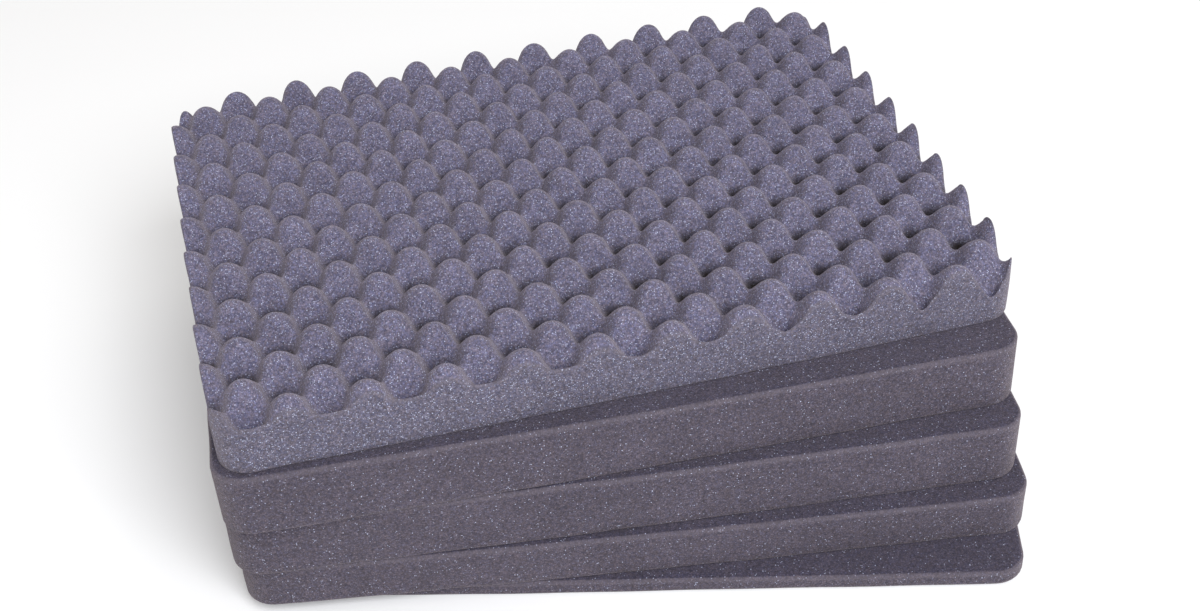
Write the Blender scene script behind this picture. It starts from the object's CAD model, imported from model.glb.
"""A fanned stack of five loose foam pads for a hard equipment case, on a pale studio floor.

Metres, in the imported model's frame. Every pad is rebuilt as open-cell foam around its CAD solid.
"""
import math

import bpy
import numpy as np
from mathutils import Matrix, Vector


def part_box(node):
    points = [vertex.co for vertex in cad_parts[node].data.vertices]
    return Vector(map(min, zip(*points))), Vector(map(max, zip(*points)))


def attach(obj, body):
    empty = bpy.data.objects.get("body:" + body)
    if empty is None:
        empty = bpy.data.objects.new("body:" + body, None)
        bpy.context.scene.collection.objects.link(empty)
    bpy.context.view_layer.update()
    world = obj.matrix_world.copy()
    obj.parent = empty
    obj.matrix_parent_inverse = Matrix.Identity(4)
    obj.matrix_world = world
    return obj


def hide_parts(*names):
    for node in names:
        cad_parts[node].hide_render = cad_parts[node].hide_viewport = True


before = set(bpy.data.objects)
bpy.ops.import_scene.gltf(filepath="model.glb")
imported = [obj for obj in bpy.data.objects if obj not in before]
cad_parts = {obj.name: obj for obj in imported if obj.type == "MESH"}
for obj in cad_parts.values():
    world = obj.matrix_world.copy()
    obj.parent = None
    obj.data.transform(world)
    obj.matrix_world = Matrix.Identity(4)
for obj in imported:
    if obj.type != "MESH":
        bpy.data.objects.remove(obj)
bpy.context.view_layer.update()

MM = 0.001

# The outline: a rectangle with slightly bowed sides and round corners.
SIDE_BOW = 2.3 * MM
CORNER_RADIUS = 21.0 * MM

# How far each pad is turned about its own middle, in degrees, from the bottom up.
FLAT_PAD_TURNS = {"base_pad": 0.0, "lower_pad": 6.4, "middle_pad": 9.05, "upper_pad": 13.0}
LID_PAD = "lid_pad"
LID_TURN = 16.0
LID_LENGTH = 544.0 * MM
LID_WIDTH = 410.0 * MM

# The lid pad's waved face. A bump and the hollow beside it are half a wave apart both ways.
BUMP_HEIGHT = 49.5 * MM
SADDLE_HEIGHT = 37.0 * MM
HOLLOW_HEIGHT = 16.0 * MM
WAVE_LENGTH = 49.5 * MM
WAVE_WIDTH = 44.7 * MM
WAVE_TURN = -0.3
WAVE_START = (-21.8 * MM, 3.8 * MM)
DOME_SOFTNESS = 0.3
DOME_FULLNESS = 0.2
HOLLOW_TIP_START = 0.5

# No two bumps are quite alike: their places and heights wander by this much.
BUMP_WANDER = 0.7 * MM
BUMP_WANDER_LENGTH = 90 * MM
ALONG_SEED = 11
ACROSS_SEED = 12
HEIGHT_SEED = 13

# Along the front cut the valleys get shallower towards the left. This lip reaches so far back.
LIP_DEPTH = 12.0 * MM

# Mesh fineness.
FLAT_STEP = 5.0 * MM
LID_STEP = 2.2 * MM
WALL_STEP = 3.0 * MM
FLAT_EDGE_RADIUS = 2.2 * MM
LID_EDGE_RADIUS = 1.2 * MM
EDGE_STEPS = 4

# Cut foam isn't quite flat: its faces wander by this much, over about this distance.
WANDER = 0.35 * MM
WANDER_LENGTH = 60 * MM
LID_SEED = 7

# Looks, as linear colours.
LID_COOL = (0.096, 0.095, 0.150)
LID_WARM = (0.120, 0.104, 0.132)
LID_TOP_TINT = (1.32, 1.31, 1.38)
FLAT_COOL = (0.064, 0.059, 0.090)
FLAT_WARM = (0.083, 0.068, 0.086)
FLAT_TOP_TINT = (0.78, 0.80, 0.90)
GLINT_COLOUR = (0.62, 0.67, 0.88)
EDGE_COLOUR = (0.19, 0.165, 0.19)
EDGE_TINT = (1.0, 0.86, 0.84)
EDGE_SHARE = 0.25
CELL_SIZE = 1.3 * MM
GRAIN_SIZE = CELL_SIZE / 1.7
CLOUD_SIZE = 35 * MM
GLINT_SPACING = 0.9 * MM
FLAT_GLINT_SHARE = 0.06
LID_GLINT_SHARE = 0.25

# The foam's surface: rough, with little shine, a faint bloom at grazing angles and a cellular relief.
ROUGHNESS = 0.9
SPECULAR = 0.12
SHEEN = 0.25
SHEEN_ROUGHNESS = 0.45
RELIEF_STRENGTH = 0.7
RELIEF_DEPTH = 0.5 * MM

# Deep in the hollows the foam is dark and brownish. The front row of hollows is cut open, so light
# gets in there and it stays pale, and the darkening comes in behind it.
DEEP_COLOUR = (0.014, 0.011, 0.009)
DEEP_START = 32.5 * MM
DEEP_RANGE = 6.0 * MM
PALE_FRONT = 24.0 * MM
PALE_FADE = 20.0 * MM


def soft_noise(x, y, z, wave, seed, layers=6):
    """Smooth waves in random directions, between about -1 and 1, the same on every run."""
    draws = np.random.default_rng(seed)
    total = np.zeros_like(x)
    for _ in range(layers):
        direction = draws.normal(size=3)
        direction /= np.linalg.norm(direction)
        phase = draws.uniform(0, 2 * math.pi)
        length = wave * draws.uniform(0.7, 1.4)
        along = x * direction[0] + y * direction[1] + z * direction[2]
        total += np.sin(2 * math.pi * along / length + phase)
    return total / math.sqrt(layers)


def outline_point(u, v, length, width, inset):
    """Square coordinates from -1 to 1 laid out inside the pad's outline, inset by a distance."""
    half_x = length / 2 - inset
    half_y = width / 2 - inset
    radius = CORNER_RADIUS - inset
    x = np.abs(u) * half_x
    y = np.abs(v) * half_y
    in_x = np.clip((x - half_x + radius) / radius, 0, 1)
    in_y = np.clip((y - half_y + radius) / radius, 0, 1)
    x = np.where(in_x > 0, half_x - radius + radius * in_x * np.sqrt(1 - in_y ** 2 / 2), x)
    y = np.where(in_y > 0, half_y - radius + radius * in_y * np.sqrt(1 - in_x ** 2 / 2), y)
    bowed_x = x - SIDE_BOW * (y / half_y) ** 2 * (x / half_x)
    bowed_y = y - SIDE_BOW * (x / half_x) ** 2 * (y / half_y)
    return np.sign(u) * bowed_x, np.sign(v) * bowed_y


def border(grid):
    """The values round the edge of a grid, anticlockwise, each corner once."""
    return np.concatenate([grid[:-1, 0], grid[-1, :-1], grid[:0:-1, -1], grid[0, :0:-1]])


def wave_height(x, y):
    """Height of the waved face above the lid pad's underside."""
    turn = math.radians(WAVE_TURN)
    level = np.zeros_like(x)
    shift_x = BUMP_WANDER * soft_noise(x, y, level, BUMP_WANDER_LENGTH, ALONG_SEED)
    shift_y = BUMP_WANDER * soft_noise(x, y, level, BUMP_WANDER_LENGTH, ACROSS_SEED)
    dx = x - WAVE_START[0] + shift_x
    dy = y - WAVE_START[1] + shift_y
    along = dx * math.cos(turn) + dy * math.sin(turn)
    across = dy * math.cos(turn) - dx * math.sin(turn)
    ripple = -np.cos(2 * math.pi * along / WAVE_LENGTH) * np.cos(2 * math.pi * across / WAVE_WIDTH)
    softness = DOME_SOFTNESS ** 2
    rounded = ripple * ((1 + softness) / (ripple ** 2 + softness)) ** DOME_FULLNESS
    in_lip = np.clip((LIP_DEPTH - LID_WIDTH / 2 - y) / LIP_DEPTH, 0, 1)
    left_share = 0.5 - x / LID_LENGTH
    rounded = np.where(rounded < 0, rounded * (1 - in_lip * left_share), rounded)
    swing = BUMP_HEIGHT - SADDLE_HEIGHT
    tip_depth = SADDLE_HEIGHT - swing - HOLLOW_HEIGHT
    tip = np.clip((-ripple - HOLLOW_TIP_START) / (1 - HOLLOW_TIP_START), 0, 1)
    height = SADDLE_HEIGHT + swing * rounded - tip_depth * tip ** 2 * (3 - 2 * tip)
    return height + BUMP_WANDER * rounded * soft_noise(x, y, level, BUMP_WANDER_LENGTH, HEIGHT_SEED)


def flat_height(thickness):
    """A height function for a pad with a flat top."""
    return lambda x, y: np.full_like(x, thickness)


def pad_mesh(name, length, width, step, edge_radius, top_height, seed):
    """One closed pad, its underside at z = 0 and its middle on the z axis.

    Its points carry how worn an edge is, how deep in a hollow they lie and whether they are on top.
    """
    count_x = round(length / step)
    count_y = round(width / step)
    u, v = np.meshgrid(np.linspace(-1, 1, count_x + 1), np.linspace(-1, 1, count_y + 1), indexing="ij")
    edge_u = border(u)
    edge_v = border(v)
    rim_x, rim_y = outline_point(edge_u, edge_v, length, width, 0)
    rim_top = top_height(rim_x, rim_y)

    def wall_loop(inset, height):
        """One loop round the pad, pushed in and out a little as a knife leaves it."""
        wander = WANDER * soft_noise(rim_x, rim_y, height, WANDER_LENGTH, seed)
        x, y = outline_point(edge_u, edge_v, length, width, inset - wander)
        return np.stack([x, y, height], -1)

    # Down from the top face's border: round the upper edge, down the wall, round the lower edge.
    loops = []
    wear = []
    rounding = [math.pi / 2 * number / EDGE_STEPS for number in range(1, EDGE_STEPS + 1)]
    for angle in rounding:
        height = rim_top - edge_radius * (1 - math.cos(angle))
        loops.append(wall_loop(edge_radius * (1 - math.sin(angle)), height))
        wear.append(1.0)
    wall_rows = max(2, round(float(rim_top.mean()) / WALL_STEP))
    for number in range(1, wall_rows):
        share = number / wall_rows
        height = (rim_top - edge_radius) * (1 - share) + edge_radius * share
        loops.append(wall_loop(0, height))
        wear.append(0.0)
    for angle in reversed(rounding):
        height = np.full_like(rim_x, edge_radius * (1 - math.cos(angle)))
        loops.append(wall_loop(edge_radius * (1 - math.sin(angle)), height))
        wear.append(0.0)
    x, y = outline_point(u, v, length, width, edge_radius)
    top = np.stack([x, y, top_height(x, y)], -1).reshape(-1, 3)
    bottom = np.stack([x, y, np.zeros_like(x)], -1).reshape(-1, 3)
    points = np.concatenate([top, bottom, *loops])

    index = np.arange(u.size).reshape(u.shape)
    corners = [index[:-1, :-1], index[1:, :-1], index[1:, 1:], index[:-1, 1:]]
    top_faces = np.stack([corner.ravel() for corner in corners], -1)
    bottom_faces = top_faces[:, ::-1] + u.size
    rim = border(index)
    rings = [rim]
    for number in range(len(loops)):
        rings.append(2 * u.size + number * rim.size + np.arange(rim.size))
    rings.append(rim + u.size)
    faces = [top_faces, bottom_faces]
    for upper, lower in zip(rings, rings[1:]):
        faces.append(np.stack([lower, np.roll(lower, -1), np.roll(upper, -1), upper], -1))
    mesh = bpy.data.meshes.new(name)
    mesh.from_pydata(points.tolist(), [], np.concatenate(faces).tolist())
    mesh.update()
    mesh.polygons.foreach_set("use_smooth", np.ones(len(mesh.polygons), dtype=bool))
    on_top = np.arange(len(points)) < u.size
    behind_front = np.clip((points[:, 1] + width / 2 - PALE_FRONT) / PALE_FADE, 0, 1)
    values = {
        "wear": np.concatenate([np.zeros(2 * u.size), np.repeat(wear, rim.size)]),
        "deep": on_top * behind_front * np.clip((DEEP_START - points[:, 2]) / DEEP_RANGE, 0, 1),
        "on_top": on_top.astype(float),
    }
    for key, value in values.items():
        mesh.attributes.new(key, "FLOAT", "POINT").data.foreach_set("value", value)
    return mesh


def put(name, mesh, node, turn):
    """The mesh as a piece in its node's place, standing for that node."""
    low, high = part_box(node)
    middle = (Vector(low) + Vector(high)) / 2
    place = Matrix.Translation((middle.x, middle.y, low[2])) @ Matrix.Rotation(math.radians(turn), 4, "Z")
    mesh.transform(place)
    piece = bpy.data.objects.new(name, mesh)
    bpy.context.scene.collection.objects.link(piece)
    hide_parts(node)
    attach(piece, node)
    return piece


class Nodes:
    """Short ways to add shader nodes to one material, all reading the piece's own coordinates."""

    def __init__(self, material):
        material.use_nodes = True
        self.nodes = material.node_tree.nodes
        self.links = material.node_tree.links
        self.shader = self.nodes["Principled BSDF"]
        self.where = self.nodes.new("ShaderNodeTexCoord").outputs["Object"]

    def texture(self, kind, size, **inputs):
        node = self.nodes.new(kind)
        node.inputs["Scale"].default_value = 1 / size
        for key, value in inputs.items():
            node.inputs[key].default_value = value
        self.links.new(self.where, node.inputs["Vector"])
        return node

    def ramp(self, source, from_low, from_high, low, high):
        node = self.nodes.new("ShaderNodeMapRange")
        node.inputs["From Min"].default_value = from_low
        node.inputs["From Max"].default_value = from_high
        node.inputs["To Min"].default_value = low
        node.inputs["To Max"].default_value = high
        self.links.new(source, node.inputs["Value"])
        return node.outputs["Result"]

    def product(self, *factors):
        result = factors[0]
        for factor in factors[1:]:
            node = self.nodes.new("ShaderNodeMath")
            node.operation = "MULTIPLY"
            self.links.new(result, node.inputs[0])
            self.links.new(factor, node.inputs[1])
            result = node.outputs["Value"]
        return result

    def mix(self, factor, first, second):
        """First where the factor is 0, second where it is 1. Each is a colour or a socket."""
        node = self.nodes.new("ShaderNodeMix")
        node.data_type = "RGBA"
        self.links.new(factor, node.inputs["Factor"])
        for socket, value in ((node.inputs[6], first), (node.inputs[7], second)):
            if isinstance(value, tuple):
                socket.default_value = (*value, 1)
            else:
                self.links.new(value, socket)
        return node.outputs[2]

    def scaled(self, colour, strength):
        node = self.nodes.new("ShaderNodeVectorMath")
        node.operation = "SCALE"
        self.links.new(colour, node.inputs[0])
        self.links.new(strength, node.inputs["Scale"])
        return node.outputs["Vector"]

    def tinted(self, colour, tint):
        node = self.nodes.new("ShaderNodeVectorMath")
        node.operation = "MULTIPLY"
        self.links.new(colour, node.inputs[0])
        self.links.new(tint, node.inputs[1])
        return node.outputs["Vector"]

    def attribute(self, name):
        node = self.nodes.new("ShaderNodeAttribute")
        node.attribute_name = name
        return node.outputs["Fac"]


def foam_material(name, cool, warm, glint_share, top_tint, hollows):
    """Open-cell foam: fine cells of uneven shade, dark pores and small bright struts.

    The top tint multiplies the colour of the pad's upper face. Hollows are darkened if asked.
    """
    material = bpy.data.materials.new(name)
    tree = Nodes(material)
    cells = tree.texture("ShaderNodeTexVoronoi", CELL_SIZE)
    parts = tree.nodes.new("ShaderNodeSeparateColor")
    tree.links.new(cells.outputs["Color"], parts.inputs["Color"])
    cell_shade = tree.ramp(parts.outputs["Red"], 0, 1, 0.72, 1.28)
    pores = tree.ramp(cells.outputs["Distance"], 0.1, 0.8, 1.25, 0.72)
    grain = tree.texture("ShaderNodeTexNoise", GRAIN_SIZE, Detail=2, Roughness=0.7)
    specks = tree.ramp(grain.outputs["Fac"], 0.3, 0.7, 0.62, 1.38)
    cloud = tree.texture("ShaderNodeTexNoise", CLOUD_SIZE, Detail=3)
    clouds = tree.ramp(cloud.outputs["Fac"], 0.3, 0.7, 0.92, 1.08)
    strength = tree.product(cell_shade, pores, specks, clouds)
    tint = tree.mix(parts.outputs["Green"], cool, warm)
    tint = tree.tinted(tint, tree.mix(tree.attribute("on_top"), (1.0, 1.0, 1.0), top_tint))
    foam = tree.scaled(tint, strength)
    sparks = tree.texture("ShaderNodeTexVoronoi", GLINT_SPACING)
    spark_parts = tree.nodes.new("ShaderNodeSeparateColor")
    tree.links.new(sparks.outputs["Color"], spark_parts.inputs["Color"])
    chance = tree.ramp(spark_parts.outputs["Red"], 1 - glint_share, 1, 0, 1)
    spot = tree.ramp(sparks.outputs["Distance"], 0.2, 0.5, 1, 0)
    foam = tree.mix(tree.product(chance, spot), foam, GLINT_COLOUR)
    foam = tree.mix(tree.ramp(tree.attribute("wear"), 0, 1, 0, EDGE_SHARE), foam, EDGE_COLOUR)
    if hollows:
        foam = tree.mix(tree.attribute("deep"), foam, DEEP_COLOUR)
    tree.links.new(foam, tree.shader.inputs["Base Color"])
    tree.shader.inputs["Roughness"].default_value = ROUGHNESS
    tree.shader.inputs["Specular IOR Level"].default_value = SPECULAR
    tree.shader.inputs["Sheen Weight"].default_value = SHEEN
    tree.shader.inputs["Sheen Roughness"].default_value = SHEEN_ROUGHNESS
    tree.shader.inputs["Sheen Tint"].default_value = (*EDGE_TINT, 1)
    bump = tree.nodes.new("ShaderNodeBump")
    bump.inputs["Strength"].default_value = RELIEF_STRENGTH
    bump.inputs["Distance"].default_value = RELIEF_DEPTH
    tree.links.new(tree.product(pores, specks), bump.inputs["Height"])
    tree.links.new(bump.outputs["Normal"], tree.shader.inputs["Normal"])
    return material


def make_pads():
    """Every pad, standing for its CAD solid."""
    low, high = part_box("base_pad")
    length = high[0] - low[0]
    width = high[1] - low[1]
    flat_foam = foam_material("flat_foam", FLAT_COOL, FLAT_WARM, FLAT_GLINT_SHARE, FLAT_TOP_TINT, False)
    lid_foam = foam_material("lid_foam", LID_COOL, LID_WARM, LID_GLINT_SHARE, LID_TOP_TINT, True)
    for seed, (node, turn) in enumerate(FLAT_PAD_TURNS.items()):
        low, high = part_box(node)
        top = flat_height(high[2] - low[2])
        mesh = pad_mesh(node + "_foam", length, width, FLAT_STEP, FLAT_EDGE_RADIUS, top, seed)
        mesh.materials.append(flat_foam)
        piece = put(node + "_foam", mesh, node, turn)
    mesh = pad_mesh("lid_pad_foam", LID_LENGTH, LID_WIDTH, LID_STEP, LID_EDGE_RADIUS, wave_height, LID_SEED)
    mesh.materials.append(lid_foam)
    piece = put("lid_pad_foam", mesh, LID_PAD, LID_TURN)


# Studio.
FLOOR_SIZE = 12.0
FLOOR_DROP = 0.2 * MM
FLOOR_COLOUR = (0.96, 0.96, 0.96)
FLOOR_ROUGHNESS = 0.9
SKY_COLOUR = (1.0, 0.98, 0.96)
SKY_STRENGTH = 0.62

# The key light is a large soft square, ahead of the stack and to its right.
KEY_PLACE = (1.3, -2.7, 2.8)
KEY_AIM = (0, 0, 0.1)
KEY_SIZE = 2.2
KEY_POWER = 165
KEY_COLOUR = (0.95, 0.97, 1.0)

# The camera, its angles in degrees and its lens in millimetres.
CAMERA_AIM = Vector((-0.021, 0.014, 0.079))
CAMERA_DISTANCE = 1.254
CAMERA_AZIMUTH = 2.70
CAMERA_ELEVATION = 36.70
CAMERA_ROLL = 2.94
CAMERA_LENS = 49.18


def make_floor():
    mesh = bpy.data.meshes.new("floor")
    half = FLOOR_SIZE / 2
    corners = [(-half, -half, 0), (half, -half, 0), (half, half, 0), (-half, half, 0)]
    mesh.from_pydata(corners, [], [(0, 1, 2, 3)])
    floor = bpy.data.objects.new("floor", mesh)
    floor.location.z = -FLOOR_DROP
    bpy.context.scene.collection.objects.link(floor)
    material = bpy.data.materials.new("floor")
    material.use_nodes = True
    shader = material.node_tree.nodes["Principled BSDF"]
    shader.inputs["Base Color"].default_value = (*FLOOR_COLOUR, 1)
    shader.inputs["Roughness"].default_value = FLOOR_ROUGHNESS
    mesh.materials.append(material)


def make_camera():
    azimuth = math.radians(CAMERA_AZIMUTH)
    elevation = math.radians(CAMERA_ELEVATION)
    level_back = Vector((math.sin(azimuth), -math.cos(azimuth), 0))
    back = level_back * math.cos(elevation) + Vector((0, 0, math.sin(elevation)))
    camera = bpy.data.objects.new("camera", bpy.data.cameras.new("camera"))
    camera.data.lens = CAMERA_LENS
    camera.location = CAMERA_AIM + back * CAMERA_DISTANCE
    level = (-back).to_track_quat("-Z", "Y").to_matrix().to_4x4()
    roll = Matrix.Rotation(math.radians(-CAMERA_ROLL), 4, "Z")
    camera.matrix_world = Matrix.Translation(camera.location) @ level @ roll
    bpy.context.scene.collection.objects.link(camera)
    bpy.context.scene.camera = camera


def make_key_light():
    light = bpy.data.lights.new("key", "AREA")
    light.shape = "SQUARE"
    light.size = KEY_SIZE
    light.energy = KEY_POWER
    light.color = KEY_COLOUR
    lamp = bpy.data.objects.new("key", light)
    lamp.location = KEY_PLACE
    lamp.rotation_euler = (Vector(KEY_AIM) - Vector(KEY_PLACE)).to_track_quat("-Z", "Y").to_euler()
    bpy.context.scene.collection.objects.link(lamp)


def make_world():
    world = bpy.data.worlds.new("studio")
    world.use_nodes = True
    sky = world.node_tree.nodes["Background"]
    sky.inputs["Color"].default_value = (*SKY_COLOUR, 1)
    sky.inputs["Strength"].default_value = SKY_STRENGTH
    bpy.context.scene.world = world


make_pads()
make_floor()
make_camera()
make_world()
make_key_light()
bpy.context.scene.view_settings.view_transform = "Standard"
